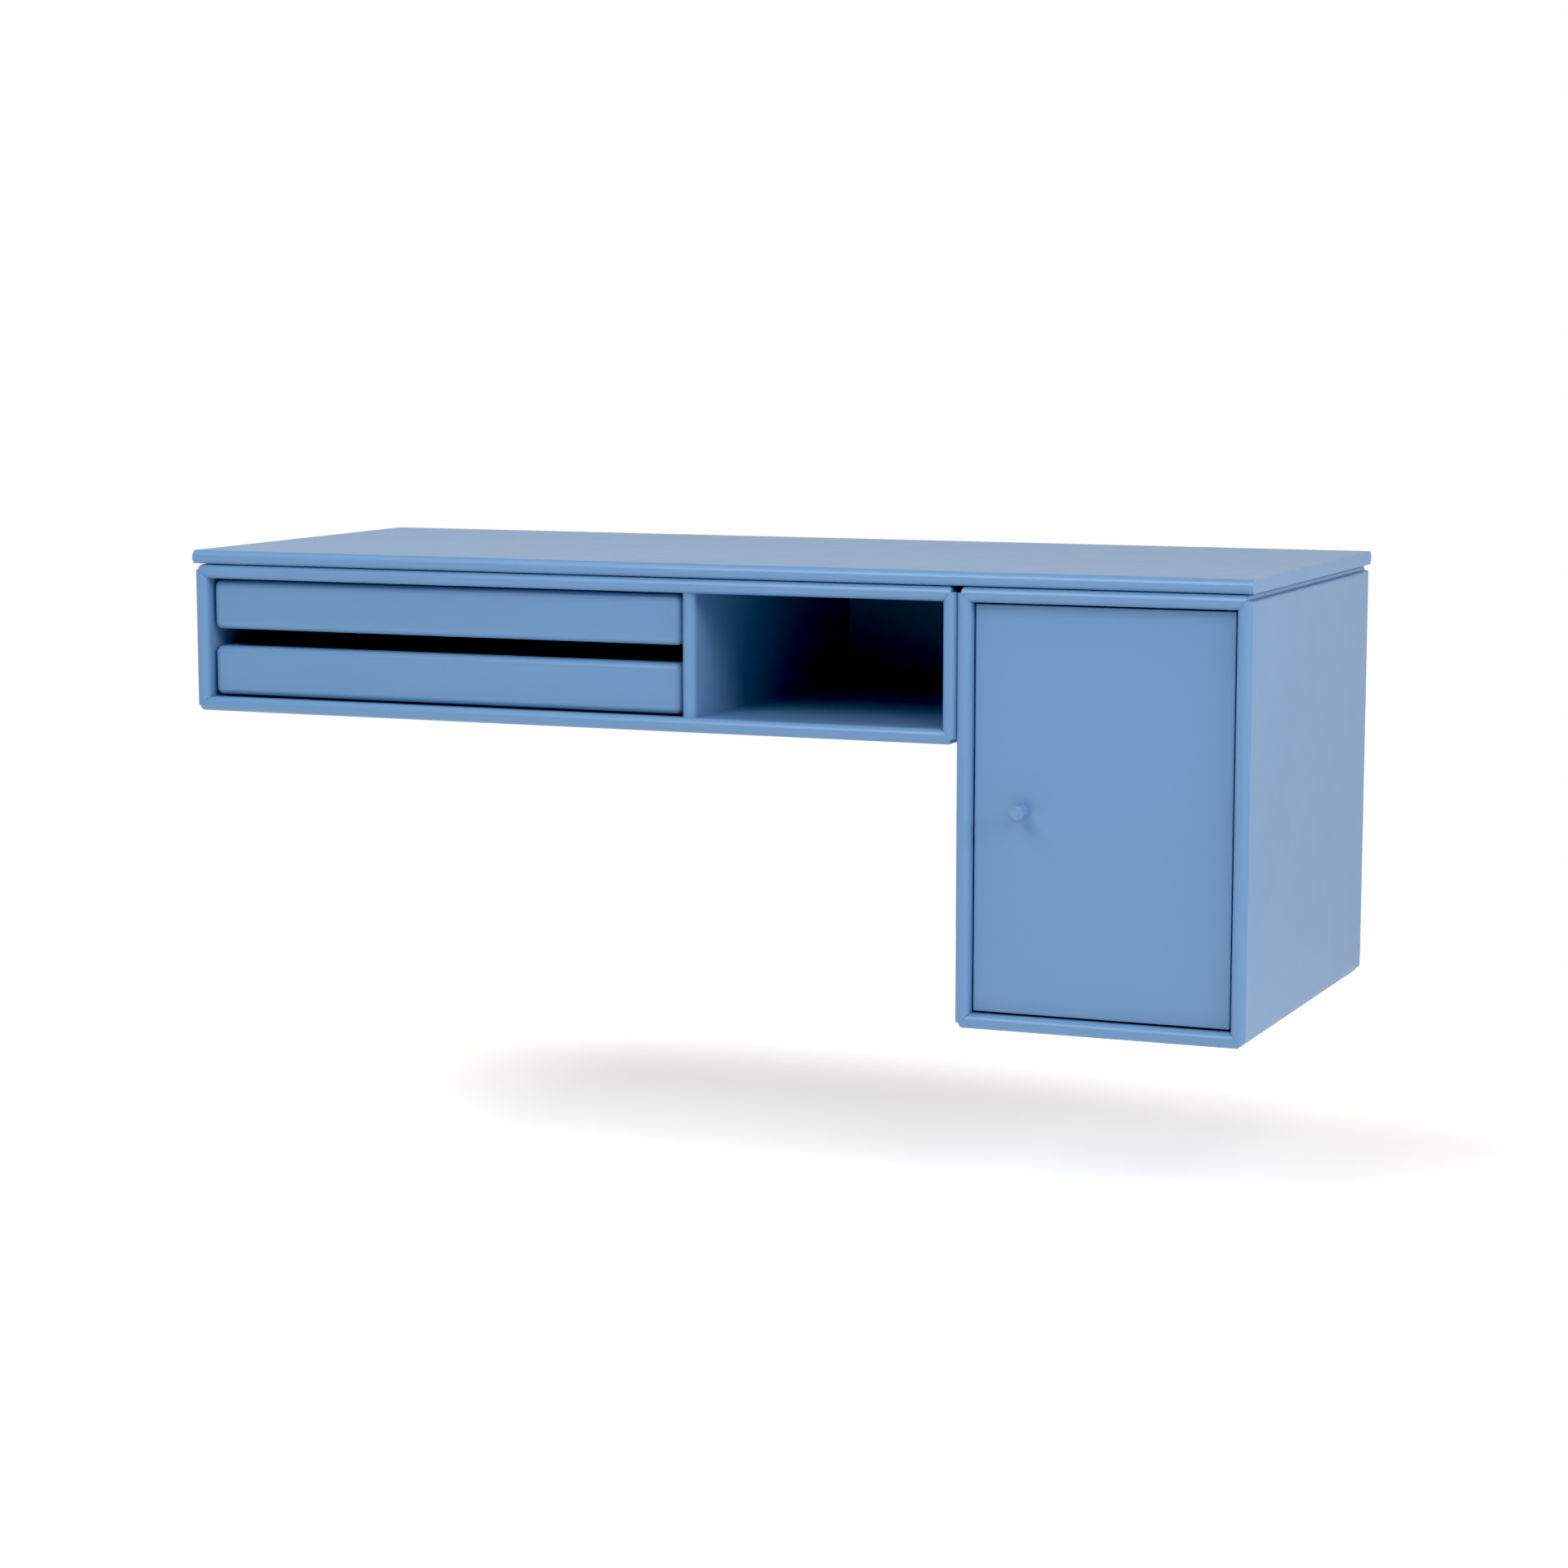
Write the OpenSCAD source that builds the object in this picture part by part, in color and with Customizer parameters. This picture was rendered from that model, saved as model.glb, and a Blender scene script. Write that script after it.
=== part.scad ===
/* [Boards] */
// Thickness of the lacquered boards
board_t = 12; // [10:0.5:16]
// Depth of the desk, from the wall to the foremost point of the front edges
depth = 380; // [320:1:470]
// How far the rounded front and back edges bulge past the flat faces
edge_bulge = 5; // [3:0.1:5]
// Depth of the step that runs along each outer corner of a module
notch = 4.4; // [3:0.1:5]
// Radius of the two lips of that step
lip_r = 2.8; // [1:0.1:3]
// Width of the seam in each mitred corner
mitre_gap = 0.15; // [0.05:0.01:0.4]

/* [Desk top] */
// How far the desk top stands out past the modules at each end
top_overhang = 1; // [0:0.5:20]
// Height of the shadow line between the desk top's edge and the modules
shadow_h = 0.7; // [0:0.1:1.5]
// Depth of that shadow line, from the flat of the edge inwards
shadow_in = 6; // [3:0.5:20]

/* [Wide module] */
// Width of the low module with the trays and the niche
wide_w = 696; // [600:1:900]
// Height of the low module
wide_h = 126; // [120:1:160]
// Clear width of the tray bay
bay_w = 444; // [350:1:500]
// How far the divider stays behind the front edges
divider_recess = 5; // [0:0.5:20]

/* [Cupboard module] */
// Width of the cupboard
cup_w = 240; // [220:1:400]
// Height of the cupboard
cup_h = 354; // [300:1:500]
// Height of the shelf's underside above the cupboard floor
shelf_z = 165; // [130:1:190]

/* [Back panels] */
// Thickness of the back panels
back_t = 6; // [4:0.5:8]
// Distance from the wall to the front of a back panel
back_setback = 30; // [28:1:45]
// Depth of the groove that holds a back panel
groove_d = 5; // [3:0.5:7]

/* [Door] */
// How far the door face stays behind the front edges
door_recess = 10; // [8:0.5:20]
// Gap between the door and the side at the knob
latch_gap = 1.2; // [0.8:0.1:3]
// Gap between the door and the side at the hinges
hinge_gap = 2.4; // [1.6:0.1:3]
// Gap above and below the door
door_end_gap = 1.6; // [1.4:0.1:3]
// Radius of the door's softened edges
door_soft_r = 0.8; // [0.3:0.1:1.5]
// Diameter of the knob
knob_d = 11; // [8:0.5:20]
// Length of the knob
knob_l = 16; // [12:0.5:30]
// Distance from the cupboard's outer side to the knob's axis
knob_inset = 54; // [35:1:90]

/* [Trays] */
// Height of a tray
tray_h = 42; // [36:0.5:44]
// How far the tray fronts stay behind the front edges
tray_recess = 9; // [8:0.5:25]
// Gap between a tray and the bay at each side
tray_side_gap = 1.8; // [1.2:0.1:3]
// Gap above the upper tray and below the lower tray
tray_end_gap = 1.6; // [1:0.1:3]
// Radius of a tray's corners, and of the edges that its front rolls over
tray_corner_r = 6; // [3:0.5:7]
// Thickness of the tray fronts
tray_front_t = 16; // [12:0.5:22]
// Thickness of the tray sides and backs
tray_wall_t = 9; // [8:0.5:12]
// Thickness of the tray floors
tray_floor_t = 4; // [3:0.5:6]

/* [Wall rail] */
// Thickness of the rail's steel strip
rail_t = 2; // [1.5:0.1:3]
// Height of the rail's flat part, which lies on the wall
rail_flat_h = 30; // [24:1:36]
// Distance from the top of the modules to the line of screw holes
rail_drop = 50; // [46:1:60]
// Diameter of the rail's screw holes
rail_hole_d = 7; // [5:0.5:9]
// Distance between the outer screw holes of the wide rail
wide_hole_span = 560; // [300:10:580]
// Distance between the screw holes of the cupboard rail
cup_hole_span = 140; // [60:5:150]

/* [Hidden] */
$fn = 48;

// Overrun that makes each cut pass its face
over = 0.5;
// Free space round a piece that seats in a groove, pocket or bore
seat_gap = 0.1;
// Free space between a moving piece and the piece that guides it
run_gap = 0.3;
// Hexagon socket of a countersunk screw: its depth in the head and its width in the shank
socket_deep_share = 0.8;
socket_d_share = 0.6;

// Colours
lacquer = [0.455, 0.604, 0.776];
steel = [0.72, 0.73, 0.75];
beech = [0.80, 0.66, 0.47];
plastic = [0.90, 0.90, 0.88];

// Rounded edge: an arc through both face edges and the foremost point
edge_r = (pow(edge_bulge, 2) + pow(board_t / 2, 2)) / (2 * edge_bulge);
// The mitre plane is moved along the board by this much to leave half of the seam
mitre_shift = mitre_gap / sqrt(2);

// Outer places of the modules: x = 0 is the middle of the wide module, z = 0 the line of screw holes
top_z = rail_drop;
wide_x0 = -wide_w / 2;
wide_x1 = wide_w / 2;
wide_z0 = top_z - wide_h;
cup_x0 = wide_x1;
cup_x1 = cup_x0 + cup_w;
cup_z0 = top_z - cup_h;

// Inner places of the modules
inner_top_z = top_z - board_t;
wide_in_x0 = wide_x0 + board_t;
wide_in_x1 = wide_x1 - board_t;
wide_in_z0 = wide_z0 + board_t;
cup_in_x0 = cup_x0 + board_t;
cup_in_x1 = cup_x1 - board_t;
cup_in_z0 = cup_z0 + board_t;
bay_x1 = wide_in_x0 + bay_w;
back_y0 = -back_setback;
back_y1 = back_y0 + back_t;

// Divider and its dowels
divider_y0 = -depth + divider_recess;
dowel_d = 6;
dowel_in_board = 8;
dowel_in_divider = 16;
dowel_inset = 63;
dowel_ys = [divider_y0 + dowel_inset, back_y0 - dowel_inset];

// Door
door_x0 = cup_in_x0 + latch_gap;
door_x1 = cup_in_x1 - hinge_gap;
door_w = door_x1 - door_x0;
door_y0 = -depth + door_recess;
door_y1 = door_y0 + board_t;
door_z0 = cup_in_z0 + door_end_gap;
door_z1 = inner_top_z - door_end_gap;
door_h = door_z1 - door_z0;

// Pivot hinges: leaves let flush into the door's ends and into the boards above and below
pivot_edge = 6;
pivot_face = 5;
pivot_x = door_x1 - pivot_edge;
pivot_y = door_y0 + pivot_face;
pivot_pin_d = 4;
pivot_run = 0.05;
leaf_w = 7;
leaf_l = 40;
leaf_t = 2;
pin_tail = 1;
washer_d = 7;
washer_t = door_end_gap - run_gap;
leaf_screw_d = 2.4;
leaf_screw_head_d = 4.4;
leaf_screw_l = 10;
leaf_screw_shares = [0.45, 0.8];

// Knob and its screw
knob_x = cup_x0 + knob_inset;
knob_z = (door_z0 + door_z1) / 2;
knob_edge_r = 1;
knob_screw_d = 4;
knob_screw_in = 9;
knob_screw_head_d = 8;
knob_screw_head_t = 2.4;
knob_slot_w = 1.3;
knob_bore_spare = 1;

// Magnetic catch under the cupboard's top board, and the strike plate on the door
catch_w = 46;
catch_t = 14;
catch_h = 16;
catch_inset = 16;
catch_x0 = cup_in_x0 + catch_inset;
pole_w = 20;
pole_t = 2;
pole_out = 1;
pole_pitch = 6;
pole_deep = 8;
strike_w = 34;
strike_h = 11;
strike_t = 1.5;
strike_y1 = door_y1 + strike_t;
catch_y0 = strike_y1 + run_gap + pole_out;
catch_mid_x = catch_x0 + catch_w / 2;
catch_mid_z = inner_top_z - catch_h / 2;
catch_screw_d = 3;
catch_screw_head_d = 6;
catch_screw_l = 18;
catch_screw_inset = 5;
strike_screw_d = 2.4;
strike_screw_head_d = 5;
strike_screw_l = 9;
strike_screw_inset = 5;

// Shelf and its pins
shelf_side_gap = 0.8;
shelf_front_setback = 24;
shelf_back_gap = 1;
shelf_bottom_z = cup_in_z0 + shelf_z;
pin_d = 5;
pin_in = 8;
pin_out = 8;
pin_collar_d = 8;
pin_collar_t = 0.6;
pin_pitch = 32;
pin_rows = [-1, 0, 1];
pin_hole_z = shelf_bottom_z - pin_d / 2;
pin_ys = [door_y1 + shelf_front_setback + pin_pitch, back_y0 - pin_pitch];

// Trays: the runner grooves are half way up the sides
tray_x0 = wide_in_x0 + tray_side_gap;
tray_x1 = bay_x1 - tray_side_gap;
tray_w = tray_x1 - tray_x0;
tray_y0 = -depth + tray_recess;
tray_back_gap = 6;
tray_y1 = back_y0 - tray_back_gap;
tray_side_y0 = tray_y0 + tray_front_t;
tray_side_y1 = tray_y1 - tray_wall_t;
upper_tray_z = inner_top_z - tray_end_gap - tray_h;
lower_tray_z = wide_in_z0 + tray_end_gap;
tray_rim_r = 2;
floor_up = 6;
floor_in = 4;
runner_h = 9.4;
runner_out = 6;
runner_groove_d = 5;
runner_groove_h = runner_h + 2 * run_gap;
runner_front_gap = 6;
runner_y0 = tray_side_y0 + runner_front_gap;
runner_y1 = back_y0 - tray_back_gap;
runner_soft_r = 1.5;
runner_screw_d = 3;
runner_screw_head_d = 6;
runner_screw_l = 14;
runner_screw_count = 3;
runner_end_inset = 30;

// Screws that hold the desk top from below
top_screw_d = 4;
top_screw_head_d = 8;
top_screw_l = 20;
top_screw_inset = 48;

// Connectors that join the two modules: a flanged sleeve from one side, a bolt from the other
connector_d = 8;
connector_flange_d = 14;
connector_flange_t = 1.5;
connector_bolt_d = 6;
connector_end_gap = 1;
connector_bolt_in = 14;
connector_z = (wide_in_z0 + inner_top_z) / 2;
connector_ys = [-depth + top_screw_inset, back_y0 - top_screw_inset];
connector_socket_d = 4;
connector_socket_deep = 3;

// Wall rails and the hanger blocks that hook over them
rail_jog = 8;
rail_lip_h = 12;
rail_end_gap = 2;
wide_hole_shares = [-0.5, -0.25, 0.25, 0.5];
cup_hole_shares = [-0.5, 0.5];
rail_top_z = rail_flat_h / 2 + rail_lip_h;
rail_lip_y1 = -rail_jog;
rail_lip_y0 = rail_lip_y1 - rail_t;
hanger_w = 14;
hanger_wall_gap = 1.5;
hanger_front_gap = 1;
hanger_slot_gap = 0.2;
hanger_over = 7;
hanger_tongue_up = 2;
hanger_y0 = back_y1 + hanger_front_gap;
hanger_y1 = -hanger_wall_gap;
hanger_top_z = rail_top_z + hanger_over;
hanger_drop = 12;
hanger_screw_d = 4;
hanger_screw_head_d = 8;
hanger_screw_l = 22;
hanger_screw_up_share = 0.8;
hanger_screw_down_share = 0.4;

// Quarter of a square outside a circle, to round one corner of an outline
module corner_cut(r) {
    difference() {
        translate([-over, -over])
            square(r + over);
        translate([r, r])
            circle(r);
    }
}

// Rectangle with its own radius at each corner: lower left, lower right, upper right, upper left
module soft_rect(w, h, radii) {
    places = [[0, 0], [w, 0], [w, h], [0, h]];
    difference() {
        square([w, h]);
        for (i = [0:3])
            if (radii[i] > 0)
                translate(places[i])
                    rotate(90 * i)
                        corner_cut(radii[i]);
    }
}

// Section of a board, front to back, with its outer face on the x axis: from y0 to y1
module nosed_section(y0, y1, nose_back) {
    flat_y1 = nose_back ? y1 - edge_bulge : y1;
    translate([y0 + edge_bulge, -board_t])
        square([flat_y1 - y0 - edge_bulge, board_t]);
    intersection() {
        translate([y0 + edge_r, -board_t / 2])
            circle(edge_r);
        translate([y0 - over, -board_t])
            square([edge_bulge + over, board_t]);
    }
    if (nose_back)
        intersection() {
            translate([y1 - edge_r, -board_t / 2])
                circle(edge_r);
            translate([y1 - edge_bulge, -board_t])
                square([edge_bulge + over, board_t]);
        }
}

// Front view of a mitred board, with its outer face on the x axis and the stepped corners cut out
module mitred_outline(len) {
    in0 = board_t + mitre_shift;
    out0 = notch + mitre_shift;
    r = min(lip_r, notch);
    difference() {
        polygon([
            [in0, -board_t], [len - in0, -board_t], [len - out0, -notch],
            [len - out0, 0], [out0, 0], [out0, -notch]
        ]);
        translate([out0, 0])
            rotate(-90)
                corner_cut(r);
        translate([len - out0, 0])
            rotate(180)
                corner_cut(r);
    }
}

// Extrudes an outline drawn in depth and height along x, from x0 to x1
module along_x(x0, x1) {
    translate([x0, 0, 0])
        rotate([90, 0, 90])
            linear_extrude(x1 - x0)
                children();
}

// Extrudes an outline drawn in width and height along y, from y0 to y1
module along_y(y0, y1) {
    translate([0, y1, 0])
        rotate([90, 0, 0])
            linear_extrude(y1 - y0)
                children();
}

// Board of a module's shell, lying flat with its outer face up, its left end at x = 0 and its back at y = 0
module mitred_board(len) {
    difference() {
        intersection() {
            along_x(0, len)
                nosed_section(-depth, 0, true);
            along_y(-depth - over, over)
                mitred_outline(len);
        }
        translate([0, back_y0 - seat_gap, -board_t - over])
            cube([len, back_t + 2 * seat_gap, groove_d + over]);
    }
}

// The four boards of a module whose outer lower left corner is at x, z
module top_board(x, z, w, h) {
    translate([x, 0, z + h])
        mitred_board(w);
}
module bottom_board(x, z, w, h) {
    translate([x, 0, z])
        mirror([0, 0, 1])
            mitred_board(w);
}
module left_board(x, z, w, h) {
    translate([x, 0, z])
        rotate([0, -90, 0])
            mitred_board(h);
}
module right_board(x, z, w, h) {
    translate([x + w, 0, z])
        mirror([1, 0, 0])
            rotate([0, -90, 0])
                mitred_board(h);
}

// Back panel seated in the grooves of a module's four boards
module back_panel(x, z, w, h) {
    edge = board_t - groove_d + seat_gap;
    translate([x + edge, back_y0, z + edge])
        cube([w - 2 * edge, back_t, h - 2 * edge]);
}

// Countersunk screw along z, with its flat head at z = 0 and its point down, and a hexagon socket
module countersunk_screw(d, head_d, len) {
    head_t = (head_d - d) / 2;
    difference() {
        rotate_extrude()
            polygon([
                [0, 0], [head_d / 2, 0], [d / 2, -head_t], [d / 2, -len + d], [0, -len]
            ]);
        translate([0, 0, -head_t * socket_deep_share])
            cylinder(d = d * socket_d_share, h = head_t, $fn = 6);
    }
}

// Hole that such a screw fills
module countersunk_hole(d, head_d, len) {
    head_t = (head_d - d) / 2;
    rotate_extrude()
        polygon([
            [0, over], [head_d / 2 + seat_gap, over], [head_d / 2 + seat_gap, 0],
            [d / 2 + seat_gap, -head_t - seat_gap], [d / 2 + seat_gap, -len + d], [0, -len - seat_gap]
        ]);
}

// Places of the desk top screws, each pointing up through a module's top board
module at_top_screws() {
    for (y = [-depth + top_screw_inset, back_y0 - top_screw_inset]) {
        for (x = [wide_in_x0 + top_screw_inset, (wide_in_x0 + bay_x1) / 2, wide_in_x1 - top_screw_inset])
            translate([x, y, inner_top_z])
                rotate([180, 0, 0])
                    children();
        translate([(cup_in_x0 + cup_in_x1) / 2, y, inner_top_z])
            rotate([180, 0, 0])
                children();
    }
}

// Places of the connectors, with x pointing from the wide module into the cupboard
module at_connectors() {
    for (y = connector_ys)
        translate([cup_x0, y, connector_z])
            rotate([0, 90, 0])
                children();
}

// Places of the divider's dowels, each axis along z with the board's face at z = 0
module at_dowels() {
    for (y = dowel_ys) {
        translate([bay_x1 + board_t / 2, y, inner_top_z])
            children();
        translate([bay_x1 + board_t / 2, y, wide_in_z0])
            mirror([0, 0, 1])
                children();
    }
}
module dowel(gap) {
    translate([0, 0, -dowel_in_divider - gap])
        cylinder(d = dowel_d + 2 * gap, h = dowel_in_divider + dowel_in_board + 2 * gap);
}

// Places of the hanger screws, each pointing out into the side board
module at_hanger_screws() {
    for (z = [rail_flat_h * hanger_screw_up_share, -hanger_drop * hanger_screw_down_share]) {
        for (x = [wide_in_x0, cup_in_x0])
            translate([x + hanger_w, (hanger_y0 + rail_lip_y0) / 2, z])
                rotate([0, 90, 0])
                    children();
        for (x = [wide_in_x1, cup_in_x1])
            translate([x - hanger_w, (hanger_y0 + rail_lip_y0) / 2, z])
                rotate([0, -90, 0])
                    children();
    }
}

// Places of the runner screws, each pointing out into the bay's wall
module at_runner_screws() {
    for (i = [0:runner_screw_count - 1], z = [upper_tray_z + tray_h / 2, lower_tray_z + tray_h / 2]) {
        y = runner_y0 + runner_end_inset
            + i * (runner_y1 - runner_y0 - 2 * runner_end_inset) / (runner_screw_count - 1);
        translate([wide_in_x0 + runner_out, y, z])
            rotate([0, 90, 0])
                children();
        translate([bay_x1 - runner_out, y, z])
            rotate([0, -90, 0])
                children();
    }
}

// Places of the shelf pins' bores in the side boards, with z pointing into the cupboard
module at_pin_bores(rows) {
    for (y = pin_ys, row = rows) {
        translate([cup_in_x0, y, pin_hole_z + row * pin_pitch])
            rotate([0, 90, 0])
                children();
        translate([cup_in_x1, y, pin_hole_z + row * pin_pitch])
            rotate([0, -90, 0])
                children();
    }
}

// Outline of a pivot leaf seen from above, round about the pivot and square at its far end
module leaf_outline(gap) {
    circle(d = leaf_w + 2 * gap);
    translate([-leaf_l - gap, -leaf_w / 2 - gap])
        square([leaf_l + gap, leaf_w + 2 * gap]);
}
module at_pivot(z) {
    translate([pivot_x, pivot_y, z])
        children();
}
module at_leaf_screws(z) {
    for (share = leaf_screw_shares)
        translate([pivot_x - share * leaf_l, pivot_y, z])
            children();
}

// Strips cut from the desk top's underside along its front edge and both ends
module shadow_line() {
    end_x0 = wide_x0 - top_overhang;
    end_x1 = cup_x1 + top_overhang;
    front_in = edge_bulge + shadow_in;
    translate([end_x0 - over, -depth - over, top_z - over])
        cube([end_x1 - end_x0 + 2 * over, front_in + over, shadow_h + over]);
    for (x = [end_x0 - over, end_x1 - shadow_in])
        translate([x, -depth - over, top_z - over])
            cube([shadow_in + over, depth + 2 * over, shadow_h + over]);
}

module desk_top() {
    color(lacquer)
        difference() {
            translate([0, 0, top_z + board_t])
                along_x(wide_x0 - top_overhang, cup_x1 + top_overhang)
                    nosed_section(-depth, 0, true);
            shadow_line();
            at_top_screws()
                countersunk_hole(top_screw_d, top_screw_head_d, top_screw_l);
        }
}

module wide_top() {
    color(lacquer)
        difference() {
            top_board(wide_x0, wide_z0, wide_w, wide_h);
            at_top_screws()
                countersunk_hole(top_screw_d, top_screw_head_d, top_screw_l);
            at_dowels()
                dowel(seat_gap);
        }
}

module wide_bottom() {
    color(lacquer)
        difference() {
            bottom_board(wide_x0, wide_z0, wide_w, wide_h);
            at_dowels()
                dowel(seat_gap);
        }
}

module wide_left_side() {
    color(lacquer)
        difference() {
            left_board(wide_x0, wide_z0, wide_w, wide_h);
            at_hanger_screws()
                countersunk_hole(hanger_screw_d, hanger_screw_head_d, hanger_screw_l);
            at_runner_screws()
                countersunk_hole(runner_screw_d, runner_screw_head_d, runner_screw_l);
        }
}

module wide_right_side() {
    color(lacquer)
        difference() {
            right_board(wide_x0, wide_z0, wide_w, wide_h);
            at_hanger_screws()
                countersunk_hole(hanger_screw_d, hanger_screw_head_d, hanger_screw_l);
            at_connectors()
                cylinder(d = connector_d + 2 * seat_gap, h = 2 * (board_t + over), center = true);
        }
}

module wide_divider() {
    color(lacquer)
        difference() {
            translate([bay_x1, 0, wide_in_z0])
                rotate([0, -90, 0])
                    along_x(0, inner_top_z - wide_in_z0)
                        nosed_section(divider_y0, back_y0, false);
            at_dowels()
                dowel(seat_gap);
            at_runner_screws()
                countersunk_hole(runner_screw_d, runner_screw_head_d, runner_screw_l);
        }
}

module wide_back_panel() {
    color(lacquer)
        back_panel(wide_x0, wide_z0, wide_w, wide_h);
}

module divider_dowels() {
    color(beech)
        at_dowels()
            dowel(0);
}

module cupboard_top() {
    color(lacquer)
        difference() {
            top_board(cup_x0, cup_z0, cup_w, cup_h);
            at_top_screws()
                countersunk_hole(top_screw_d, top_screw_head_d, top_screw_l);
            at_pivot(inner_top_z - over)
                linear_extrude(leaf_t + seat_gap + over)
                    leaf_outline(seat_gap);
            at_leaf_screws(inner_top_z)
                rotate([180, 0, 0])
                    countersunk_hole(leaf_screw_d, leaf_screw_head_d, leaf_screw_l);
            at_catch_screws()
                countersunk_hole(catch_screw_d, catch_screw_head_d, catch_screw_l);
        }
}

module cupboard_bottom() {
    color(lacquer)
        difference() {
            bottom_board(cup_x0, cup_z0, cup_w, cup_h);
            at_pivot(cup_in_z0 - leaf_t - seat_gap)
                linear_extrude(leaf_t + seat_gap + over)
                    leaf_outline(seat_gap);
            at_leaf_screws(cup_in_z0)
                countersunk_hole(leaf_screw_d, leaf_screw_head_d, leaf_screw_l);
        }
}

module cupboard_left_side() {
    color(lacquer)
        difference() {
            left_board(cup_x0, cup_z0, cup_w, cup_h);
            at_hanger_screws()
                countersunk_hole(hanger_screw_d, hanger_screw_head_d, hanger_screw_l);
            at_connectors()
                cylinder(d = connector_d + 2 * seat_gap, h = 2 * (board_t + over), center = true);
            at_pin_bores(pin_rows)
                translate([0, 0, -pin_in - seat_gap])
                    cylinder(d = pin_d + 2 * seat_gap, h = pin_in + seat_gap + over);
        }
}

module cupboard_right_side() {
    color(lacquer)
        difference() {
            right_board(cup_x0, cup_z0, cup_w, cup_h);
            at_hanger_screws()
                countersunk_hole(hanger_screw_d, hanger_screw_head_d, hanger_screw_l);
            at_pin_bores(pin_rows)
                translate([0, 0, -pin_in - seat_gap])
                    cylinder(d = pin_d + 2 * seat_gap, h = pin_in + seat_gap + over);
        }
}

module cupboard_back_panel() {
    color(lacquer)
        back_panel(cup_x0, cup_z0, cup_w, cup_h);
}

module cupboard_shelf() {
    color(lacquer)
        translate([0, 0, shelf_bottom_z + board_t])
            along_x(cup_in_x0 + shelf_side_gap, cup_in_x1 - shelf_side_gap)
                nosed_section(door_y1 + shelf_front_setback, back_y0 - shelf_back_gap, false);
}

module shelf_pins() {
    color(steel)
        at_pin_bores([0]) {
            translate([0, 0, -pin_in])
                cylinder(d = pin_d, h = pin_in + pin_out);
            cylinder(d = pin_collar_d, h = pin_collar_t);
        }
}

// The door's plain board, its edges softened all round
module door_blank() {
    soft = [door_soft_r, door_soft_r, door_soft_r, door_soft_r];
    intersection() {
        along_y(door_y0, door_y1)
            translate([door_x0, door_z0])
                soft_rect(door_w, door_h, soft);
        along_x(door_x0, door_x1)
            translate([door_y0, door_z0])
                soft_rect(board_t, door_h, soft);
        translate([door_x0, door_y0, door_z0])
            linear_extrude(door_h)
                soft_rect(door_w, board_t, soft);
    }
}

// Places of the screws in the strike plate, pointing forwards into the door
module at_strike_screws() {
    for (side = [-1, 1])
        translate([catch_mid_x + side * (strike_w / 2 - strike_screw_inset), strike_y1, catch_mid_z])
            rotate([-90, 0, 0])
                children();
}

module door_panel() {
    bore_deep = leaf_t + pin_tail + run_gap;
    color(lacquer)
        difference() {
            door_blank();
            for (z = [door_z0 - over, door_z1 - leaf_t - seat_gap])
                at_pivot(z)
                    linear_extrude(leaf_t + seat_gap + over)
                        leaf_outline(seat_gap);
            for (z = [door_z0 - over, door_z1 - bore_deep])
                at_pivot(z)
                    cylinder(d = pivot_pin_d + 2 * run_gap, h = bore_deep + over);
            at_leaf_screws(door_z1)
                countersunk_hole(leaf_screw_d, leaf_screw_head_d, leaf_screw_l);
            at_leaf_screws(door_z0)
                rotate([180, 0, 0])
                    countersunk_hole(leaf_screw_d, leaf_screw_head_d, leaf_screw_l);
            translate([knob_x, door_y0 - over, knob_z])
                rotate([-90, 0, 0])
                    cylinder(d = knob_screw_d + 2 * seat_gap, h = board_t + 2 * over);
            at_strike_screws()
                countersunk_hole(strike_screw_d, strike_screw_head_d, strike_screw_l);
        }
}

module door_knob() {
    color(lacquer)
        translate([knob_x, door_y0, knob_z])
            rotate([90, 0, 0])
                difference() {
                    rotate_extrude()
                        soft_rect(knob_d / 2, knob_l, [0, 0, knob_edge_r, 0]);
                    translate([0, 0, -over])
                        cylinder(d = knob_screw_d + 2 * seat_gap, h = knob_screw_in + knob_bore_spare + over);
                }
}

module knob_screw() {
    head_radii = [0, 0, knob_screw_head_t / 2, 0];
    color(steel)
        translate([knob_x, door_y1, knob_z])
            rotate([-90, 0, 0])
                difference() {
                    union() {
                        rotate_extrude()
                            soft_rect(knob_screw_head_d / 2, knob_screw_head_t, head_radii);
                        translate([0, 0, -board_t - knob_screw_in])
                            cylinder(d = knob_screw_d, h = board_t + knob_screw_in + knob_screw_head_t / 2);
                    }
                    translate([-knob_screw_head_d / 2, -knob_slot_w / 2, knob_screw_head_t / 2])
                        cube([knob_screw_head_d, knob_slot_w, knob_screw_head_t]);
                }
}

// Leaf plate lying on z = 0 and below, its screws' heads flush with z = 0
module leaf_plate() {
    difference() {
        translate([0, 0, -leaf_t])
            linear_extrude(leaf_t)
                leaf_outline(0);
        for (share = leaf_screw_shares)
            translate([-share * leaf_l, 0, 0])
                countersunk_hole(leaf_screw_d, leaf_screw_head_d, leaf_screw_l);
    }
}

module door_pivot_leaves() {
    color(steel)
        for (end = [[door_z1, 0], [door_z0, 1]])
            at_pivot(end[0])
                mirror([0, 0, end[1]])
                    difference() {
                        leaf_plate();
                        translate([0, 0, -leaf_t - over])
                            cylinder(d = pivot_pin_d + 2 * pivot_run, h = leaf_t + 2 * over);
                    }
}

module door_leaf_screws() {
    color(steel) {
        at_leaf_screws(door_z1)
            countersunk_screw(leaf_screw_d, leaf_screw_head_d, leaf_screw_l);
        at_leaf_screws(door_z0)
            mirror([0, 0, 1])
                countersunk_screw(leaf_screw_d, leaf_screw_head_d, leaf_screw_l);
    }
}

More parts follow.
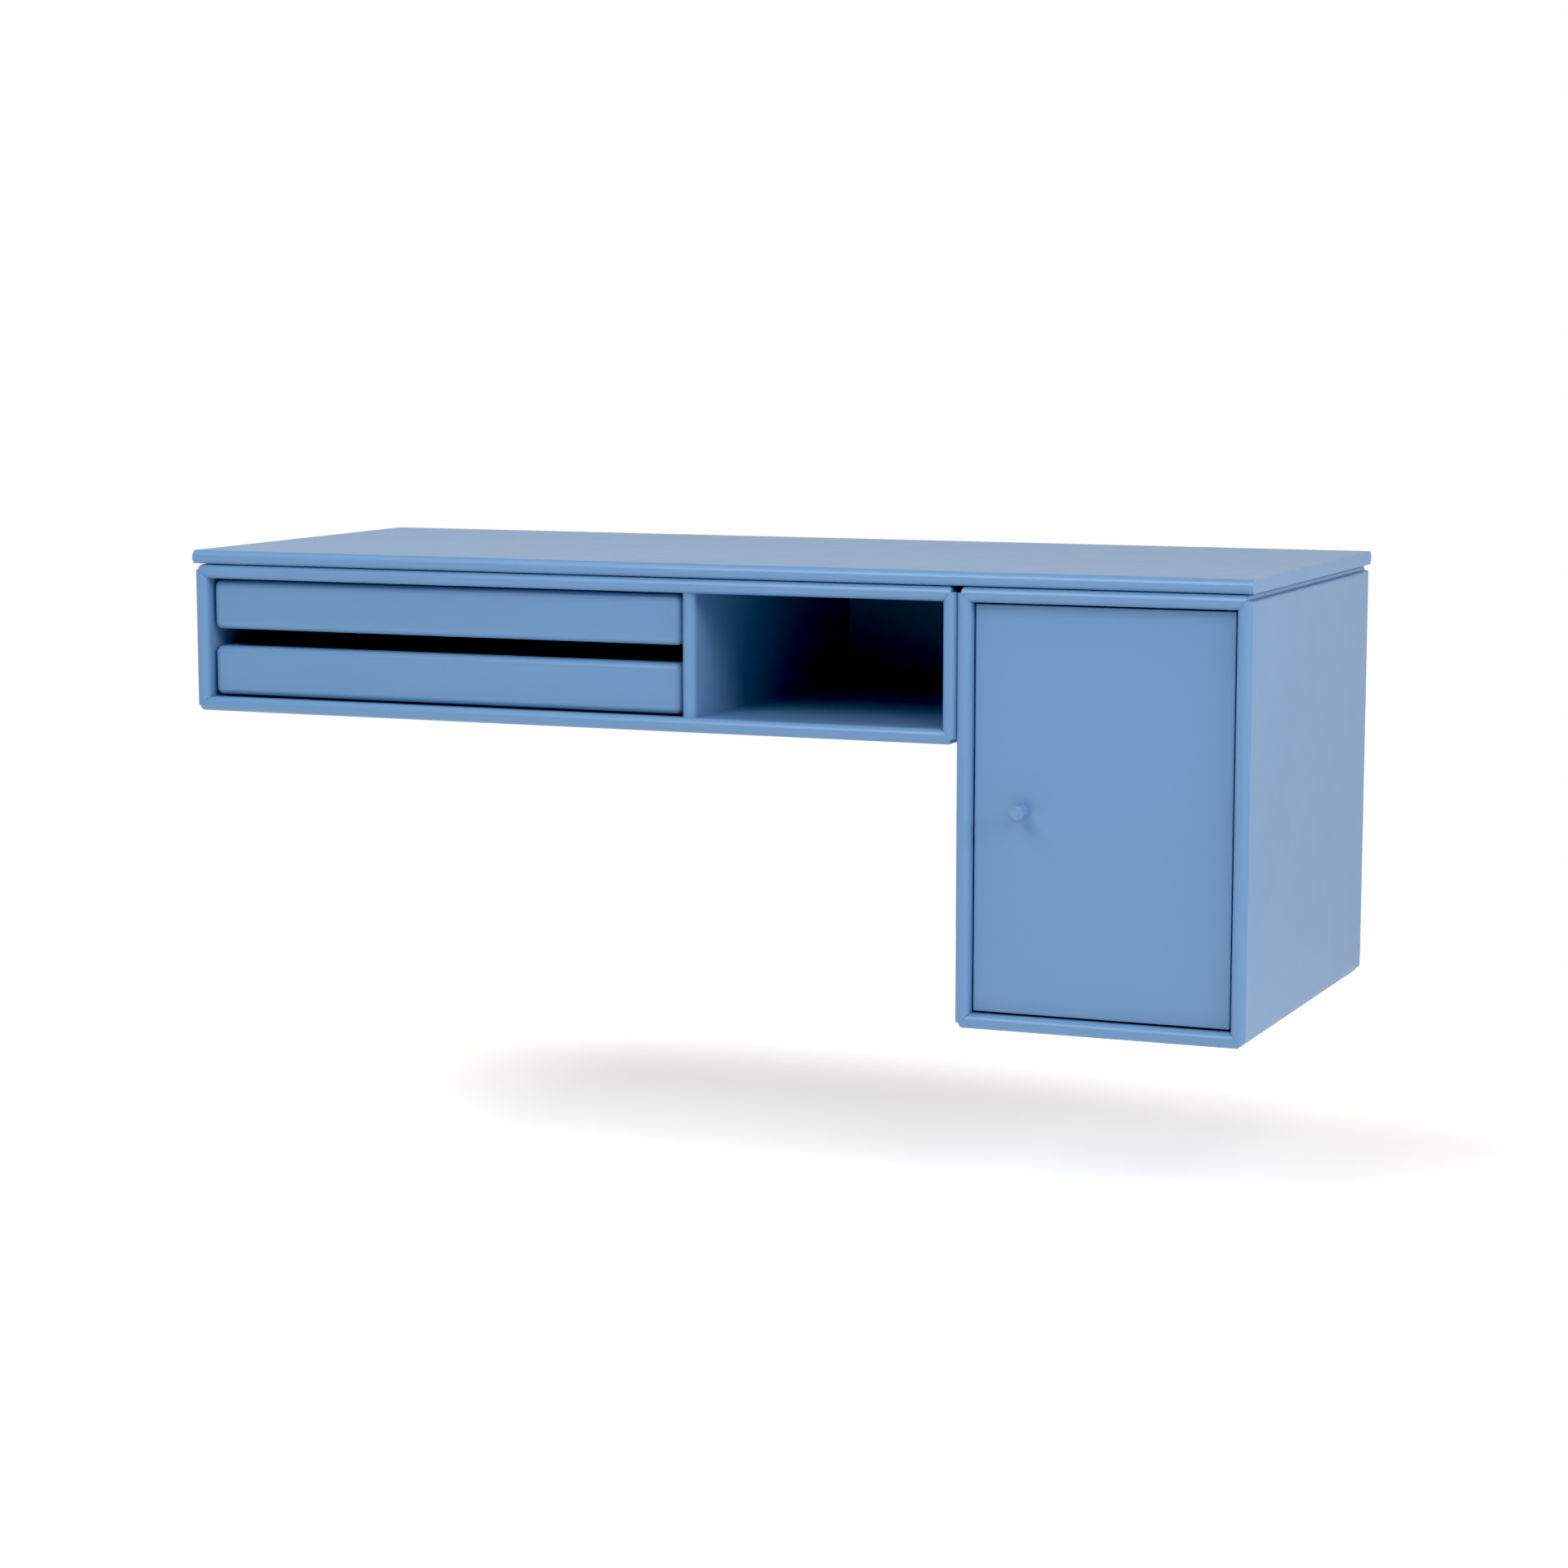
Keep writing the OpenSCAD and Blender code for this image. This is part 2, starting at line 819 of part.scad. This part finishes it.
module frame_pivot_leaves() {
    pin_l = door_end_gap + leaf_t + pin_tail;
    color(steel)
        for (end = [[cup_in_z0, 0], [inner_top_z, 1]])
            at_pivot(end[0])
                mirror([0, 0, end[1]]) {
                    leaf_plate();
                    cylinder(d = pivot_pin_d, h = pin_l);
                }
}

module frame_leaf_screws() {
    color(steel) {
        at_leaf_screws(cup_in_z0)
            countersunk_screw(leaf_screw_d, leaf_screw_head_d, leaf_screw_l);
        at_leaf_screws(inner_top_z)
            mirror([0, 0, 1])
                countersunk_screw(leaf_screw_d, leaf_screw_head_d, leaf_screw_l);
    }
}

module pivot_washers() {
    color(plastic)
        for (z = [cup_in_z0, inner_top_z - washer_t])
            at_pivot(z)
                difference() {
                    cylinder(d = washer_d, h = washer_t);
                    translate([0, 0, -over])
                        cylinder(d = pivot_pin_d + 2 * seat_gap, h = washer_t + 2 * over);
                }
}

module strike_plate() {
    color(steel)
        difference() {
            translate([catch_mid_x - strike_w / 2, door_y1, catch_mid_z - strike_h / 2])
                cube([strike_w, strike_t, strike_h]);
            at_strike_screws()
                countersunk_hole(strike_screw_d, strike_screw_head_d, strike_screw_l);
        }
}

module strike_screws() {
    color(steel)
        at_strike_screws()
            countersunk_screw(strike_screw_d, strike_screw_head_d, strike_screw_l);
}

// Places of the catch screws, pointing up into the top board
module at_catch_screws() {
    for (x = [catch_x0 + catch_screw_inset, catch_x0 + catch_w - catch_screw_inset])
        translate([x, catch_y0 + catch_t / 2, inner_top_z - catch_h])
            rotate([180, 0, 0])
                children();
}

// The two pole strips of the magnet, with free space round them
module pole_strips(gap) {
    for (side = [-1, 1])
        translate([
            catch_mid_x - pole_w / 2 - gap, catch_y0 - pole_out,
            catch_mid_z + side * pole_pitch / 2 - pole_t / 2 - gap
        ])
            cube([pole_w + 2 * gap, pole_out + pole_deep + gap, pole_t + 2 * gap]);
}

module magnetic_catch() {
    color(plastic)
        difference() {
            translate([catch_x0, catch_y0, inner_top_z - catch_h])
                cube([catch_w, catch_t, catch_h]);
            pole_strips(seat_gap);
            at_catch_screws()
                countersunk_hole(catch_screw_d, catch_screw_head_d, catch_screw_l);
        }
}

module catch_poles() {
    color(steel)
        pole_strips(0);
}

module catch_screws() {
    color(steel)
        at_catch_screws()
            countersunk_screw(catch_screw_d, catch_screw_head_d, catch_screw_l);
}

// Floor of a tray whose underside is at z, with free space round it
module floor_slab(z, gap) {
    translate([
        tray_x0 + tray_wall_t - floor_in - gap, tray_side_y0 - floor_in - gap, z + floor_up - gap
    ])
        cube([
            tray_w - 2 * (tray_wall_t - floor_in - gap),
            tray_side_y1 - tray_side_y0 + 2 * (floor_in + gap),
            tray_floor_t + 2 * gap
        ]);
}

// Room for the runners along both sides of a tray
module runner_room(z) {
    for (x = [tray_x0 - over, tray_x1 - runner_groove_d])
        translate([x, tray_side_y0, z + (tray_h - runner_groove_h) / 2])
            cube([runner_groove_d + over, tray_y1 - tray_side_y0 + over, runner_groove_h]);
}

// Block with its front face on y = 0: balls at the front corners, round edges across and back to y = t
module rolled_block(w, h, t, r) {
    for (x = [r, w - r], z = [r, h - r])
        translate([x, r, z]) {
            sphere(r);
            rotate([-90, 0, 0])
                cylinder(r = r, h = t - r);
        }
    for (z = [r, h - r])
        translate([r, r, z])
            rotate([0, 90, 0])
                cylinder(r = r, h = w - 2 * r);
    for (x = [r, w - r])
        translate([x, r, r])
            cylinder(r = r, h = h - 2 * r);
    translate([r, 0, r])
        cube([w - 2 * r, t, h - 2 * r]);
    translate([0, r, r])
        cube([w, t - r, h - 2 * r]);
    translate([r, r, 0])
        cube([w - 2 * r, t - r, h]);
}

module tray_front(z) {
    difference() {
        translate([tray_x0, tray_y0, z])
            rolled_block(tray_w, tray_h, tray_front_t, tray_corner_r);
        floor_slab(z, seat_gap);
    }
}

module tray_left_side(z) {
    difference() {
        along_y(tray_side_y0, tray_side_y1)
            translate([tray_x0, z])
                soft_rect(tray_wall_t, tray_h, [tray_corner_r, 0, tray_rim_r, tray_corner_r]);
        runner_room(z);
        floor_slab(z, seat_gap);
    }
}

module tray_right_side(z) {
    difference() {
        along_y(tray_side_y0, tray_side_y1)
            translate([tray_x1 - tray_wall_t, z])
                soft_rect(tray_wall_t, tray_h, [0, tray_corner_r, tray_corner_r, tray_rim_r]);
        runner_room(z);
        floor_slab(z, seat_gap);
    }
}

module tray_back(z) {
    round_all = [tray_corner_r, tray_corner_r, tray_corner_r, tray_corner_r];
    difference() {
        along_y(tray_side_y1, tray_y1)
            translate([tray_x0, z])
                soft_rect(tray_w, tray_h, round_all);
        runner_room(z);
        floor_slab(z, seat_gap);
    }
}

module upper_tray_front() {
    color(lacquer)
        tray_front(upper_tray_z);
}

module upper_tray_left_side() {
    color(lacquer)
        tray_left_side(upper_tray_z);
}

module upper_tray_right_side() {
    color(lacquer)
        tray_right_side(upper_tray_z);
}

module upper_tray_back() {
    color(lacquer)
        tray_back(upper_tray_z);
}

module upper_tray_floor() {
    color(lacquer)
        floor_slab(upper_tray_z, 0);
}

module lower_tray_front() {
    color(lacquer)
        tray_front(lower_tray_z);
}

module lower_tray_left_side() {
    color(lacquer)
        tray_left_side(lower_tray_z);
}

module lower_tray_right_side() {
    color(lacquer)
        tray_right_side(lower_tray_z);
}

module lower_tray_back() {
    color(lacquer)
        tray_back(lower_tray_z);
}

module lower_tray_floor() {
    color(lacquer)
        floor_slab(lower_tray_z, 0);
}

module tray_runners() {
    color(beech)
        difference() {
            for (z = [upper_tray_z, lower_tray_z])
                translate([0, 0, z + (tray_h - runner_h) / 2]) {
                    along_y(runner_y0, runner_y1)
                        translate([wide_in_x0, 0])
                            soft_rect(runner_out, runner_h, [0, runner_soft_r, runner_soft_r, 0]);
                    along_y(runner_y0, runner_y1)
                        translate([bay_x1 - runner_out, 0])
                            soft_rect(runner_out, runner_h, [runner_soft_r, 0, 0, runner_soft_r]);
                }
            at_runner_screws()
                countersunk_hole(runner_screw_d, runner_screw_head_d, runner_screw_l);
        }
}

module runner_screws() {
    color(steel)
        at_runner_screws()
            countersunk_screw(runner_screw_d, runner_screw_head_d, runner_screw_l);
}

module desk_top_screws() {
    color(steel)
        at_top_screws()
            countersunk_screw(top_screw_d, top_screw_head_d, top_screw_l);
}

module connector_sleeves() {
    sleeve_l = 2 * board_t - connector_end_gap;
    color(steel)
        at_connectors()
            translate([0, 0, -board_t])
                difference() {
                    union() {
                        cylinder(d = connector_d, h = sleeve_l);
                        translate([0, 0, -connector_flange_t])
                            cylinder(d = connector_flange_d, h = connector_flange_t);
                    }
                    translate([0, 0, sleeve_l - connector_bolt_in - seat_gap])
                        cylinder(d = connector_bolt_d + 2 * seat_gap, h = connector_bolt_in + seat_gap + over);
                }
}

module connector_bolts() {
    bolt_l = connector_bolt_in + connector_end_gap;
    color(steel)
        at_connectors()
            translate([0, 0, board_t])
                difference() {
                    union() {
                        translate([0, 0, -bolt_l])
                            cylinder(d = connector_bolt_d, h = bolt_l + connector_flange_t);
                        cylinder(d = connector_flange_d, h = connector_flange_t);
                    }
                    translate([0, 0, connector_flange_t - connector_socket_deep])
                        cylinder(d = connector_socket_d, h = connector_socket_deep + over, $fn = 6);
                }
}

// Section of a wall rail: a flat strip on the wall, a step forward and a lip that stands up
module rail_section() {
    half_h = rail_flat_h / 2;
    polygon([
        [0, -half_h], [0, half_h], [rail_lip_y1, half_h], [rail_lip_y1, rail_top_z],
        [rail_lip_y0, rail_top_z], [rail_lip_y0, half_h - rail_t], [-rail_t, half_h - rail_t],
        [-rail_t, -half_h]
    ]);
}

// Wall rail from x0 to x1, with screw holes at the given places along it
module wall_rail(x0, x1, hole_xs) {
    difference() {
        along_x(x0, x1)
            rail_section();
        for (x = hole_xs)
            translate([x, over, 0])
                rotate([90, 0, 0])
                    cylinder(d = rail_hole_d, h = rail_t + 2 * over);
    }
}

module wide_wall_rail() {
    color(steel)
        wall_rail(
            wide_in_x0 + rail_end_gap, wide_in_x1 - rail_end_gap,
            [for (share = wide_hole_shares) share * wide_hole_span]
        );
}

module cupboard_wall_rail() {
    mid_x = (cup_x0 + cup_x1) / 2;
    color(steel)
        wall_rail(
            cup_in_x0 + rail_end_gap, cup_in_x1 - rail_end_gap,
            [for (share = cup_hole_shares) mid_x + share * cup_hole_span]
        );
}

// Section of a hanger block, with the slot that drops over the rail's lip
module hanger_section() {
    tongue_z = rail_flat_h / 2 + hanger_tongue_up;
    polygon([
        [hanger_y0, -hanger_drop], [hanger_y0, hanger_top_z], [hanger_y1, hanger_top_z],
        [hanger_y1, tongue_z], [rail_lip_y1 + hanger_slot_gap, tongue_z],
        [rail_lip_y1 + hanger_slot_gap, rail_top_z], [rail_lip_y0 - hanger_slot_gap, rail_top_z],
        [rail_lip_y0 - hanger_slot_gap, -hanger_drop]
    ]);
}

module hanger_blocks() {
    color(steel)
        difference() {
            for (x = [wide_in_x0, wide_in_x1 - hanger_w, cup_in_x0, cup_in_x1 - hanger_w])
                along_x(x, x + hanger_w)
                    hanger_section();
            at_hanger_screws()
                countersunk_hole(hanger_screw_d, hanger_screw_head_d, hanger_screw_l);
        }
}

module hanger_screws() {
    color(steel)
        at_hanger_screws()
            countersunk_screw(hanger_screw_d, hanger_screw_head_d, hanger_screw_l);
}

desk_top();
wide_top();
wide_bottom();
wide_left_side();
wide_right_side();
wide_divider();
wide_back_panel();
divider_dowels();
cupboard_top();
cupboard_bottom();
cupboard_left_side();
cupboard_right_side();
cupboard_back_panel();
cupboard_shelf();
shelf_pins();
door_panel();
door_knob();
knob_screw();
door_pivot_leaves();
door_leaf_screws();
strike_plate();
strike_screws();
frame_pivot_leaves();
frame_leaf_screws();
pivot_washers();
magnetic_catch();
catch_poles();
catch_screws();
upper_tray_front();
upper_tray_left_side();
upper_tray_right_side();
upper_tray_back();
upper_tray_floor();
lower_tray_front();
lower_tray_left_side();
lower_tray_right_side();
lower_tray_back();
lower_tray_floor();
tray_runners();
runner_screws();
desk_top_screws();
connector_sleeves();
connector_bolts();
wide_wall_rail();
cupboard_wall_rail();
hanger_blocks();
hanger_screws();
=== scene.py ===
import math

import bpy
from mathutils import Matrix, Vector


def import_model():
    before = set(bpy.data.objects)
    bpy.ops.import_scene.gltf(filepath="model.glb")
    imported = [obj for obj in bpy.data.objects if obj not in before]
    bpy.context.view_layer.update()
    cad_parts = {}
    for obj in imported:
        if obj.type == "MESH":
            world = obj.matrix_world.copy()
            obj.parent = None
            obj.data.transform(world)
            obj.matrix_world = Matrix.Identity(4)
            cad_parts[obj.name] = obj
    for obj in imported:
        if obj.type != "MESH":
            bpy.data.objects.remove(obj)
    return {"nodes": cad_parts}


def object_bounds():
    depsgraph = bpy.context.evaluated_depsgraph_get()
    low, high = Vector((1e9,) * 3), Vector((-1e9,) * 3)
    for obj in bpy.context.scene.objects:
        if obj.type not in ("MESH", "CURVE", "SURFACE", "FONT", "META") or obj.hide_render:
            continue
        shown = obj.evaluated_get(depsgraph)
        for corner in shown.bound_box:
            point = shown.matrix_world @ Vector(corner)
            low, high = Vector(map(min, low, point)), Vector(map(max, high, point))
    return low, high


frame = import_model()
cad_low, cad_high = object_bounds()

# Camera in metres and degrees, lens and sensor in millimetres: the place and angle of the photograph
CAMERA_PLACE = (1.3366, -3.1215, 0.2625)
CAMERA_PITCH = -8.063
CAMERA_TURN = 22.482
CAMERA_LENS = 84.84
CAMERA_SENSOR = 36
CAMERA_SHIFT_X = -0.00045
CAMERA_SHIFT_Y = 0.03444
CAMERA_NEAR = 0.05
CAMERA_FAR = 50

# Floor in metres: a flat sheet of pale paper, somewhat below the lowest point of the desk
FLOOR_DROP = 0.146
FLOOR_Z = cad_low[2] - FLOOR_DROP
FLOOR_FRONT = 2.6
FLOOR_HALF_WIDTH = 1.5
FLOOR_BACK = 0.9
FLOOR_ALBEDO = 0.6

# Glow of the floor: even for the light on the desk, but seen by the camera it carries painted shade. It is
# darker and tinted warm near a place below the desk, and grows whiter away from it, on top of the real
# shadow that the lights cast.
# The narrowing makes a distance along the desk count less, so the long painted shadow stays.
FLOOR_GLOW = 0.457
FLOOR_PAINTED_SHADE = (0.62, 0.59, 0.54)
FLOOR_SEEN_FAR = (1.0, 1.0, 1.0)
FLOOR_PAINTED_SHADE_PLACE = (0.05, -0.06)
FLOOR_PAINTED_SHADE_NARROWING = 0.3
FLOOR_PAINTED_SHADE_REACH = (0.13, 0.5)

# World: white to the camera; to the desk a white wall behind it, pale below it and dark elsewhere
WORLD_SEEN = 1.0
WORLD_WALL = 0.73
WORLD_WALL_TOP = 0.35
WORLD_WALL_EDGE = 0.05
WORLD_BELOW = 0.7
WORLD_HORIZON_EDGE = 0.02

# Softboxes: azimuth from the front towards the right and elevation in degrees, distance, width and height
# in metres, power in watts, and whether it shows in gloss. All point at a place near the desk's middle.
AIM_SHIFT = Vector((0, -0.007, 0.071))
AIM = (Vector(cad_low) + Vector(cad_high)) / 2 + AIM_SHIFT
SOFTBOXES = {
    "middle": (-14, 42, 3.0, 1.6, 1.6, 35.6, True),
    "right": (45, 38, 3.0, 1.2, 1.2, 15.1, False),
    "right_mid": (45, 20, 3.0, 1.2, 1.2, 5.5, False),
    "right_low": (75, 21, 3.0, 1.2, 1.2, 30.5, False),
    "left_high": (-75, 62, 3.0, 1.2, 1.2, 46.9, False),
    "rear": (180, 45, 3.5, 2.5, 1.2, 6.5, True),
}

# Darkest light that the picture still shows, in red, green and blue
BLACK_LEVEL = (0.012, 0.009, 0.017)

# Materials: linear colours from dark to light, roughness from smooth to rough, bump heights in metres
LACQUER_COLOURS = ((0.160, 0.310, 0.549), (0.163, 0.315, 0.554))
LACQUER_CLOUD_SCALE = 9
LACQUER_MIST_SCALE = 45
LACQUER_ROUGHNESS = (0.30, 0.325)
LACQUER_PEEL_SCALE = 420
LACQUER_PEEL_HEIGHT = 0.000009
LACQUER_IOR = 1.5

STEEL_COLOURS = ((0.57, 0.58, 0.61), (0.67, 0.68, 0.69))
STEEL_STRETCH = (1, 40, 40)
STEEL_STREAK_SCALE = 14
STEEL_ROUGHNESS = (0.26, 0.36)
STEEL_STREAK_HEIGHT = 0.00001

BEECH_COLOURS = ((0.47, 0.30, 0.16), (0.66, 0.47, 0.29))
BEECH_STRETCH = (120, 9, 120)
BEECH_GRAIN_SCALE = 4
BEECH_ROUGHNESS = (0.42, 0.58)
BEECH_GRAIN_HEIGHT = 0.00006

WHITE_PLASTIC_COLOURS = ((0.78, 0.78, 0.76), (0.84, 0.84, 0.82))
DARK_PLASTIC_COLOURS = ((0.018, 0.020, 0.024), (0.028, 0.030, 0.034))
PLASTIC_SKIN_SCALE = 1400
PLASTIC_ROUGHNESS = (0.40, 0.55)
PLASTIC_SKIN_HEIGHT = 0.00002

# Nodes whose plastic is dark, because the photograph shows nothing pale in the seams of the door
DARK_NODES = ("pivot_washers",)


def node_tree(name):
    material = bpy.data.materials.new(name)
    material.use_nodes = True
    tree = material.node_tree
    shader = tree.nodes["Principled BSDF"]
    return material, tree, shader


def noise(tree, vector, scale, detail, rough=0.5):
    node = tree.nodes.new("ShaderNodeTexNoise")
    node.inputs["Scale"].default_value = scale
    node.inputs["Detail"].default_value = detail
    node.inputs["Roughness"].default_value = rough
    tree.links.new(vector, node.inputs["Vector"])
    return node.outputs["Fac"]


def stretched(tree, factors=(1, 1, 1)):
    place = tree.nodes.new("ShaderNodeTexCoord")
    mapping = tree.nodes.new("ShaderNodeMapping")
    mapping.inputs["Scale"].default_value = factors
    tree.links.new(place.outputs["Object"], mapping.inputs["Vector"])
    return mapping.outputs["Vector"]


def spread(tree, value, low, high, from_low=0.3, from_high=0.7):
    node = tree.nodes.new("ShaderNodeMapRange")
    node.inputs["From Min"].default_value = from_low
    node.inputs["From Max"].default_value = from_high
    node.inputs["To Min"].default_value = low
    node.inputs["To Max"].default_value = high
    tree.links.new(value, node.inputs["Value"])
    return node.outputs["Result"]


def blend_colours(tree, value, dark, light, start=0.35, end=0.65):
    ramp = tree.nodes.new("ShaderNodeValToRGB")
    ramp.color_ramp.elements[0].position = start
    ramp.color_ramp.elements[0].color = (*dark, 1)
    ramp.color_ramp.elements[1].position = end
    ramp.color_ramp.elements[1].color = (*light, 1)
    tree.links.new(value, ramp.inputs["Fac"])
    return ramp.outputs["Color"]


def colour(tree, shader, pattern, colours):
    tree.links.new(blend_colours(tree, pattern, *colours), shader.inputs["Base Color"])


def roughen(tree, shader, pattern, limits):
    tree.links.new(spread(tree, pattern, *limits), shader.inputs["Roughness"])


def bump(tree, shader, pattern, height):
    node = tree.nodes.new("ShaderNodeBump")
    node.inputs["Distance"].default_value = height
    node.inputs["Strength"].default_value = 1.0
    tree.links.new(pattern, node.inputs["Height"])
    tree.links.new(node.outputs["Normal"], shader.inputs["Normal"])


def lacquer():
    material, tree, shader = node_tree("lacquer")
    space = stretched(tree)
    cloud = noise(tree, space, LACQUER_CLOUD_SCALE, detail=3)
    colour(tree, shader, cloud, LACQUER_COLOURS)
    mist = noise(tree, space, LACQUER_MIST_SCALE, detail=1)
    roughen(tree, shader, mist, LACQUER_ROUGHNESS)
    peel = noise(tree, space, LACQUER_PEEL_SCALE, detail=1)
    bump(tree, shader, peel, LACQUER_PEEL_HEIGHT)
    shader.inputs["IOR"].default_value = LACQUER_IOR
    return material


def steel():
    material, tree, shader = node_tree("zinc_steel")
    shader.inputs["Metallic"].default_value = 1.0
    streaks = noise(tree, stretched(tree, STEEL_STRETCH), STEEL_STREAK_SCALE, detail=3)
    colour(tree, shader, streaks, STEEL_COLOURS)
    roughen(tree, shader, streaks, STEEL_ROUGHNESS)
    bump(tree, shader, streaks, STEEL_STREAK_HEIGHT)
    return material


def beech():
    material, tree, shader = node_tree("beech")
    grain = noise(tree, stretched(tree, BEECH_STRETCH), BEECH_GRAIN_SCALE, detail=5, rough=0.6)
    colour(tree, shader, grain, BEECH_COLOURS)
    roughen(tree, shader, grain, BEECH_ROUGHNESS)
    bump(tree, shader, grain, BEECH_GRAIN_HEIGHT)
    return material


def plastic(name, colours):
    material, tree, shader = node_tree(name)
    skin = noise(tree, stretched(tree), PLASTIC_SKIN_SCALE, detail=1)
    colour(tree, shader, skin, colours)
    roughen(tree, shader, skin, PLASTIC_ROUGHNESS)
    bump(tree, shader, skin, PLASTIC_SKIN_HEIGHT)
    return material


def dress(nodes, finishes, dark_plastic):
    for node in nodes.values():
        for place in node.material_slots:
            place.material = finishes[place.material.name.split(".")[0]]
    for name in DARK_NODES:
        nodes[name].material_slots[0].material = dark_plastic


def aim(thing, target):
    thing.rotation_euler = (target - thing.location).to_track_quat("-Z", "Y").to_euler()


def softbox(name, azimuth, elevation, distance, width, height, power, mirrored):
    light = bpy.data.lights.new(name, "AREA")
    light.shape = "RECTANGLE"
    light.size = width
    light.size_y = height
    light.energy = power
    box = bpy.data.objects.new(name, light)
    bpy.context.scene.collection.objects.link(box)
    turn, rise = math.radians(azimuth), math.radians(elevation)
    away = Vector((math.sin(turn) * math.cos(rise), -math.cos(turn) * math.cos(rise), math.sin(rise)))
    box.location = AIM + distance * away
    aim(box, AIM)
    box.visible_glossy = mirrored


# Painted shadow on the floor: to the camera, darker near a place below the desk and whiter further away
def painted_floor_shade(tree):
    away = tree.nodes.new("ShaderNodeVectorMath")
    away.operation = "DISTANCE"
    seen_x, seen_y = FLOOR_PAINTED_SHADE_PLACE
    away.inputs[1].default_value = (seen_x * FLOOR_PAINTED_SHADE_NARROWING, seen_y, FLOOR_Z)
    tree.links.new(stretched(tree, (FLOOR_PAINTED_SHADE_NARROWING, 1, 1)), away.inputs[0])
    share = spread(tree, away.outputs["Value"], 0, 1, *FLOOR_PAINTED_SHADE_REACH)
    return blend_colours(tree, share, FLOOR_PAINTED_SHADE, FLOOR_SEEN_FAR, start=0, end=1)


def paper():
    material, tree, shader = node_tree("paper_floor")
    shader.inputs["Base Color"].default_value = (FLOOR_ALBEDO, FLOOR_ALBEDO, FLOOR_ALBEDO, 1)
    shader.inputs["Roughness"].default_value = 1.0
    shader.inputs["Specular IOR Level"].default_value = 0.0
    path = tree.nodes.new("ShaderNodeLightPath")
    glow = tree.nodes.new("ShaderNodeMixRGB")
    glow.inputs["Color1"].default_value = (FLOOR_GLOW, FLOOR_GLOW, FLOOR_GLOW, 1)
    tree.links.new(path.outputs["Is Camera Ray"], glow.inputs["Fac"])
    # Camera rays see the painted floor shadow, all other rays see the even glow
    tree.links.new(painted_floor_shade(tree), glow.inputs["Color2"])
    tree.links.new(glow.outputs["Color"], shader.inputs["Emission Color"])
    shader.inputs["Emission Strength"].default_value = 1.0
    return material


def floor():
    mesh = bpy.data.meshes.new("floor")
    front, back, side = -FLOOR_FRONT, FLOOR_BACK, FLOOR_HALF_WIDTH
    corners = [(-side, front), (side, front), (side, back), (-side, back)]
    mesh.from_pydata([(x, y, FLOOR_Z) for x, y in corners], [], [(0, 1, 2, 3)])
    mesh.materials.append(paper())
    plane = bpy.data.objects.new("floor", mesh)
    bpy.context.scene.collection.objects.link(plane)


def combine(tree, operation, first, second):
    node = tree.nodes.new("ShaderNodeMath")
    node.operation = operation
    tree.links.new(first, node.inputs[0])
    tree.links.new(second, node.inputs[1])
    return node.outputs["Value"]


def soft_step(tree, value, place, edge, before, after):
    return spread(tree, value, before, after, place - edge, place + edge)


def white_light(tree, strength):
    shade = tree.nodes.new("ShaderNodeBackground")
    shade.inputs["Color"].default_value = (1, 1, 1, 1)
    shade.inputs["Strength"].default_value = strength
    return shade


def world():
    sky = bpy.data.worlds.new("studio")
    bpy.context.scene.world = sky
    sky.use_nodes = True
    tree = sky.node_tree
    tree.nodes.clear()
    out = tree.nodes.new("ShaderNodeOutputWorld")
    path = tree.nodes.new("ShaderNodeLightPath")
    place = tree.nodes.new("ShaderNodeTexCoord")
    split = tree.nodes.new("ShaderNodeSeparateXYZ")
    tree.links.new(place.outputs["Generated"], split.inputs["Vector"])
    depth, height = split.outputs["Y"], split.outputs["Z"]
    behind = soft_step(tree, depth, 0, WORLD_WALL_EDGE, 0, WORLD_WALL)
    low = soft_step(tree, height, WORLD_WALL_TOP, WORLD_WALL_EDGE, 1, 0)
    above = soft_step(tree, height, 0, WORLD_HORIZON_EDGE, 0, 1)
    below = soft_step(tree, height, 0, WORLD_HORIZON_EDGE, WORLD_BELOW, 0)
    wall = combine(tree, "MULTIPLY", combine(tree, "MULTIPLY", behind, low), above)
    unseen = white_light(tree, 0)
    tree.links.new(combine(tree, "ADD", wall, below), unseen.inputs["Strength"])
    seen = white_light(tree, WORLD_SEEN)
    mix = tree.nodes.new("ShaderNodeMixShader")
    tree.links.new(path.outputs["Is Camera Ray"], mix.inputs[0])
    tree.links.new(unseen.outputs["Background"], mix.inputs[1])
    tree.links.new(seen.outputs["Background"], mix.inputs[2])
    tree.links.new(mix.outputs["Shader"], out.inputs["Surface"])


def camera():
    lens = bpy.data.cameras.new("camera")
    lens.lens = CAMERA_LENS
    lens.sensor_width = CAMERA_SENSOR
    lens.shift_x = CAMERA_SHIFT_X
    lens.shift_y = CAMERA_SHIFT_Y
    lens.clip_start = CAMERA_NEAR
    lens.clip_end = CAMERA_FAR
    eye = bpy.data.objects.new("camera", lens)
    eye.location = CAMERA_PLACE
    eye.rotation_euler = (math.radians(90 + CAMERA_PITCH), 0, math.radians(CAMERA_TURN))
    bpy.context.scene.collection.objects.link(eye)
    bpy.context.scene.camera = eye


def tone():
    view = bpy.context.scene.view_settings
    view.view_transform = "Standard"
    view.use_curve_mapping = True
    view.curve_mapping.black_level = BLACK_LEVEL


camera()
tone()
world()
floor()
for name, facts in SOFTBOXES.items():
    softbox(name, *facts)

white_plastic = plastic("white_plastic", WHITE_PLASTIC_COLOURS)
dark_plastic = plastic("dark_plastic", DARK_PLASTIC_COLOURS)
finishes = {"lacquer": lacquer(), "steel": steel(), "beech": beech(), "plastic": white_plastic}
dress(frame["nodes"], finishes, dark_plastic)
